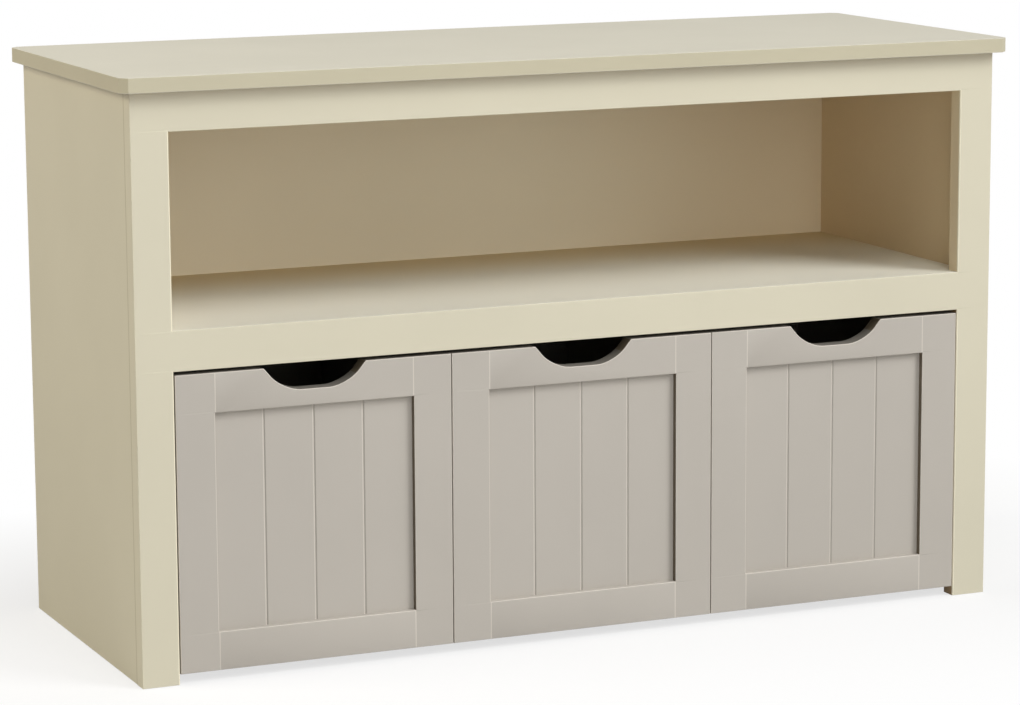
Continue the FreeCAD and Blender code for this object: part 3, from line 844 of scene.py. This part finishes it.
def make_top_rail(bin_name):
    node = f"{bin_name}_front_top_rail"
    low, high = between_stiles(bin_name, node)
    middle = (low.x + high.x) / 2
    rail = add_board(f"painted_{node}", low, high)
    cut_away(rail, make_scoop_cutter(middle, low, high))
    pick(rail, "EDGE", lambda edge: runs_along(edge, Y) and close(middle_of(edge).z, high.z)
         and abs(middle_of(edge).x - middle) < SCOOP_LIP_REACH)
    round_scoop_edges(SCOOP_LIP_ROUND, segments=4)
    leave_edit_mode()
    ease_front(rail, FRONT_ROUND, lambda edge: not runs_along(edge, Z))
    settle_shading(rail)
    fit(rail, bin_name, "grey_paint", (grey_paint, grey_highlight_paint), node)
    # The front's rounds above the bottom edge get the painted highlight.
    paint_picked(rail, grey_highlight_paint, lambda face: -SQUARE < face.normal.y < -HARDLY
                 and face.calc_center_median().z > low.z + FRONT_ROUND)
    # The rail's sawn top and the dip get painted shade.
    paint_picked(rail, shaded_sawn_grey_paint, lambda face: sawn_through(face) and face.normal.z > HARDLY)
    # The dip's wall that faces left gets the recess's painted shade.
    paint_picked(rail, recess_shade_paint, lambda face: sawn_through(face)
                 and -SQUARE < face.normal.x < -SCOOP_WALL_SLANT)
    draw_joint_lines(rail, low, high)
    return rail


for bin_name in BINS:
    rail = make_top_rail(bin_name)
    print(rail.name, len(rail.data.polygons), "faces")

# %% [markdown]
# ## The grooved panel
# The panel imitates three tongue-and-groove joints: three V-grooves are cut into one board. In edit mode
# the board is sliced three times for each groove, at both lips and at the bottom of the V. Then only the
# bottom edge is pushed in. This keeps the faces few and the groove exact. The left flank of each groove is
# painted paler, a painted highlight, and the right flank deeper, a painted shade.

# %% Panels
GROOVE_COUNT = 3
GROOVE_HALF_WIDTH = 1.5 * MM
GROOVE_DEPTH = 1 * MM
GROOVE_SLANT = 0.2
PANEL_ROUND = 0.3 * MM


def make_panel(bin_name):
    node = f"{bin_name}_front_panel"
    low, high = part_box(node)
    left, right = stile_gap(bin_name)
    spacing = (right - left) / (GROOVE_COUNT + 1)
    bottoms = [left + spacing * number for number in range(1, GROOVE_COUNT + 1)]
    panel = add_board(f"painted_{node}", low, high)
    for bottom in bottoms:
        slice_board(panel, X, bottom - GROOVE_HALF_WIDTH, bottom, bottom + GROOVE_HALF_WIDTH)
    pick(panel, "EDGE", lambda edge: runs_along(edge, Z) and close(middle_of(edge).y, low.y)
         and any(close(middle_of(edge).x, bottom) for bottom in bottoms))
    bpy.ops.transform.translate(value=(0, GROOVE_DEPTH, 0))
    leave_edit_mode()
    soften(panel, PANEL_ROUND, segments=2)
    fit(panel, bin_name, "grey_paint", (grey_paint, grey_paint), node)
    # Painted highlight on each groove's left flank, painted shade on its right flank.
    paint_picked(panel, groove_highlight_paint, lambda face: slanted(face) and face.normal.x > GROOVE_SLANT)
    paint_picked(panel, groove_shade_paint, lambda face: slanted(face) and face.normal.x < -GROOVE_SLANT)
    return panel


for bin_name in BINS:
    panel = make_panel(bin_name)
    print(panel.name, len(panel.data.polygons), "faces")

# %% [markdown]
# ## The boxes
# Behind each front is a box of thin boards. Hands reach into it all day, so the rims of its sides and back
# are rounded over on both edges. The bottom board sits in a groove of the walls.

# %% Box boards
RIM_ROUND = 2 * MM


def make_box_wall(bin_name, part, long_axis):
    node = f"{bin_name}_{part}"
    low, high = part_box(node)
    wall = add_board(f"painted_{node}", low, high)
    pick(wall, "EDGE", lambda edge: runs_along(edge, long_axis) and close(middle_of(edge).z, high.z))
    round_picked(RIM_ROUND, segments=4)
    leave_edit_mode()
    settle_shading(wall)
    fit(wall, bin_name, "box_board", (box_paint,), node)


for bin_name in BINS:
    make_box_wall(bin_name, "left_side", long_axis=Y)
    make_box_wall(bin_name, "right_side", long_axis=Y)
    make_box_wall(bin_name, "back", long_axis=X)
print("boxes: nine walls with rounded rims")

# %% [markdown]
# ## Castor wheels
# Each box rolls on four small nylon wheels. One wheel is made from a cylinder: both ends are inset and
# pushed in to a dish, a hub is raised in its middle, and the hub gets its hole. The tread's edges, the
# sharp ones at the wheel's full radius, are rounded well, and all others a little.

# %% One wheel
WHEEL_SIDES = 48
WHEEL_RIM = 6 * MM
WHEEL_DISH = 3 * MM
WHEEL_HUB_RADIUS = 7 * MM
WHEEL_BORE_RADIUS = 3.05 * MM
WHEEL_TREAD_ROUND = 2 * MM
WHEEL_EDGE_ROUND = 0.4 * MM
TREAD_ANGLE = 1.0
TREAD_SHARE = 0.98


def centre_of(node):
    low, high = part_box(node)
    return (low + high) / 2


def sink_disc(margin, depth):
    """Insets the picked disc by a margin and moves its middle along X by a depth."""
    bpy.ops.mesh.inset(thickness=margin)
    bpy.ops.mesh.extrude_region_move(TRANSFORM_OT_translate={"value": (depth, 0, 0)})


def make_wheel(node):
    low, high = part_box(node)
    centre, radius = centre_of(node), (high.z - low.z) / 2
    bpy.ops.object.select_all(action="DESELECT")
    bpy.ops.mesh.primitive_cylinder_add(vertices=WHEEL_SIDES, radius=radius, depth=high.x - low.x,
                                        location=centre, rotation=(0, math.pi / 2, 0))
    wheel = bpy.context.object
    bpy.ops.object.transform_apply(location=True, rotation=True, scale=True)
    for side in (-1, 1):
        pick(wheel, "FACE", lambda face: face.normal.x * side > FACING)
        sink_disc(WHEEL_RIM, -side * WHEEL_DISH)
        sink_disc(radius - WHEEL_RIM - WHEEL_HUB_RADIUS, side * WHEEL_DISH)
        sink_disc(WHEEL_HUB_RADIUS - WHEEL_BORE_RADIUS, -side * WHEEL_DISH)
    pick(wheel, "EDGE", lambda edge: edge.calc_face_angle() > TREAD_ANGLE
         and (middle_of(edge) - centre).yz.length > radius * TREAD_SHARE)
    round_picked(WHEEL_TREAD_ROUND, segments=4)
    leave_edit_mode()
    soften(wheel, WHEEL_EDGE_ROUND, segments=2)
    return wheel


first_node = f"{BINS[0]}_wheel_front_left"
first_wheel = make_wheel(first_node)
print("one wheel:", len(first_wheel.data.polygons), "faces")

# %% [markdown]
# ## Twelve wheels
# What repeats is modelled once. Each wheel is a copy with its own mesh, moved from the first wheel's centre
# to its own, and rides on its own body, because every wheel turns by itself.

# %% Twelve wheels
WHEEL_NODES = [f"{bin_name}_wheel_{row}_{side}" for bin_name in BINS for row in ("front", "back")
               for side in ("left", "right")]
for node in WHEEL_NODES:
    wheel = first_wheel.copy()
    wheel.data = first_wheel.data.copy()
    wheel.name = wheel.data.name = f"moulded_{node}"
    bpy.context.collection.objects.link(wheel)
    wheel.data.transform(Matrix.Translation(centre_of(node) - centre_of(first_node)))
    fit(wheel, node, "wheel_nylon", (wheel_nylon, wheel_nylon), node)
bpy.data.objects.remove(first_wheel)
print("wheels:", len(WHEEL_NODES), "set in place")

# %% [markdown]
# ## Finishes of the other pieces
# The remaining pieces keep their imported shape, because it is right as it is. Only their material changes,
# by assigning it to their material slots.

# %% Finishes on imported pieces
def finish_packed(material, *names):
    for name in names:
        for material_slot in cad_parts[name].material_slots:
            material_slot.material = material


# Painted light, turning into painted shade towards the right end.
finish_packed(back_light_and_shade_paint, "back_panel")
finish_packed(pine_along_width, "back_top_rail", "back_bottom_rail")
finish_packed(pine_along_depth, "shelf_cleats", "top_cleats")
finish_packed(dowel_wood, "frame_dowels")
finish_packed(screw_steel, "carcass_screws")
for bin_name in BINS:
    finish_packed(box_paint, f"{bin_name}_bottom")
    finish_packed(pressed_steel, f"{bin_name}_castor_frames")
    finish_packed(screw_steel, f"{bin_name}_castor_screws")
print("finishes given to the packed pieces")

# %% [markdown]
# ## A white background with a soft shadow
# The camera sees a pure white background, straight and in reflections. That comes from the Is Camera Ray
# and Is Glossy Ray outputs in the world and in the floor, not from more light. To the camera the floor
# glows white. Only round the cabinet a share of lit paper shows through the glow, so that a soft shadow
# stays, and well under the cabinet nearly all of it is paper, which is dark there.

# %% Where the floor glows
SHADOW_SHARE = 0.3
SHADOW_REACH = 0.5
SHADE_START = 0.08
SHADE_DEPTH = 0.14
INNER_WHITE = 0.1


def seen_directly(bench):
    """1 for what the camera sees, straight or in a reflection, and 0 for light on its way elsewhere."""
    straight = bench.add("ShaderNodeLightPath", out="Is Camera Ray")
    return straight + bench.add("ShaderNodeLightPath", out="Is Glossy Ray")


def beyond_cabinet(bench):
    """How far a point of the floor lies outside the cabinet's footprint on X and Y, below 0 inside it."""
    corner = cad_box[1]
    spot = bench.vector_math("ABSOLUTE", bench.place())
    return bench.vector_math("SUBTRACT", spot, (corner[X], corner[Y], 0))


def floor_whiteness(bench):
    """1 on the open floor, a little less close to the cabinet, and dark well inside its footprint."""
    beyond = beyond_cabinet(bench)
    away = bench.vector_math("LENGTH", bench.vector_math("MAXIMUM", beyond, (0, 0, 0)), out=1)
    depth = bench.math("MAXIMUM", bench.part(beyond, X), bench.part(beyond, Y))
    inside = bench.spread(depth, -SHADE_DEPTH, -SHADE_START, INNER_WHITE, 1.0)
    return bench.spread(away, 0.0, SHADOW_REACH, 1 - SHADOW_SHARE, 1.0) * inside


# %% [markdown]
# ## The floor
# A wide sheet of paper lies just under the cabinet's feet. For light that bounces on to the cabinet it is
# pale grey. For the camera it is the mix of glow and white paper.

# %% Floor
FLOOR_SIZE = 14.0
FLOOR_GAP = 0.5 * MM
PAPER = (0.6, 0.6, 0.6, 1)
WHITE_PAPER = (0.95, 0.95, 0.95, 1)
PURE_WHITE = (1, 1, 1, 1)


def make_floor():
    bpy.ops.mesh.primitive_plane_add(size=FLOOR_SIZE, location=(0, 0, -FLOOR_GAP))
    floor = bpy.context.object
    floor.name = "studio_floor"
    bench = new_material("studio_floor")
    paper = bench.add("ShaderNodeBsdfDiffuse", None, {"Color": PAPER})
    white_paper = bench.add("ShaderNodeBsdfDiffuse", None, {"Color": WHITE_PAPER})
    glow = bench.add("ShaderNodeEmission", None, {"Color": PURE_WHITE, "Strength": 1.0})
    seen = bench.add("ShaderNodeMixShader", None, {0: floor_whiteness(bench), 1: white_paper, 2: glow})
    bench.add_output(bench.add("ShaderNodeMixShader", None, {0: seen_directly(bench), 1: paper, 2: seen}))
    floor.data.materials.append(bench.owner)


make_floor()
print("floor:", FLOOR_SIZE, "m square")

# %% [markdown]
# ## World and lamps
# The room is a weak warm world with four large soft lamps. The key lamp stands to the right, the others
# fill in from the front, from above and from the left. Each lamp's place is given as a heading from the
# front and a height angle, as a photographer would set it.

# %% World and lamps
WORLD_LIGHT = 0.05
WORLD_WARMTH = (1.0, 0.95, 0.82, 1.0)
LAMP_AIM = Vector((0.0, 0.0, 0.3))
WHITE = (1.0, 1.0, 1.0)
WARM = (1.0, 0.92, 0.77)
# Each lamp: its name, heading, height angle, distance, width, power and colour, in degrees, metres, watts.
LAMPS = (("key_lamp", 42, 35, 9.0, 4.0, 530, WHITE),
         ("front_lamp", -4, 15, 3.6, 1.8, 30, WHITE),
         ("top_lamp", -8, 58, 4.5, 2.0, 44, WHITE),
         ("side_lamp", -100, 29, 4.5, 1.8, 87, WARM))


def light_world():
    bpy.context.scene.world = bpy.data.worlds.new("studio_world")
    bench = Bench(bpy.context.scene.world)
    room = bench.add("ShaderNodeBackground", None, {"Color": WORLD_WARMTH, "Strength": WORLD_LIGHT})
    backdrop = bench.add("ShaderNodeBackground", None, {"Color": PURE_WHITE, "Strength": 1.0})
    mixed = bench.add("ShaderNodeMixShader", None, {0: seen_directly(bench), 1: room, 2: backdrop})
    bench.add_output(mixed, "ShaderNodeOutputWorld")


def add_lamp(name, heading, height, distance, width, power, tint):
    heading, height = math.radians(heading), math.radians(height)
    away = Vector((math.sin(heading) * math.cos(height),
                   -math.cos(heading) * math.cos(height),
                   math.sin(height)))
    bpy.ops.object.light_add(type="AREA", location=LAMP_AIM + away * distance)
    lamp = bpy.context.object
    lamp.name = name
    lamp.data.shape = "SQUARE"
    lamp.data.size = width
    lamp.data.energy = power
    lamp.data.color = tint
    lamp.rotation_euler = (-away).to_track_quat("-Z", "Y").to_euler()


light_world()
for lamp_settings in LAMPS:
    add_lamp(*lamp_settings)
bpy.context.scene.view_settings.view_transform = "Standard"
print("lit by the world at", WORLD_LIGHT, "and", len(LAMPS), "lamps")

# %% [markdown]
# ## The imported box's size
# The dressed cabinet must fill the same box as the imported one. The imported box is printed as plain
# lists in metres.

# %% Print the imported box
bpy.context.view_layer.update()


def as_lists(box):
    return [[round(float(value), 5) for value in corner] for corner in box]


print("packed box:", as_lists(cad_box))
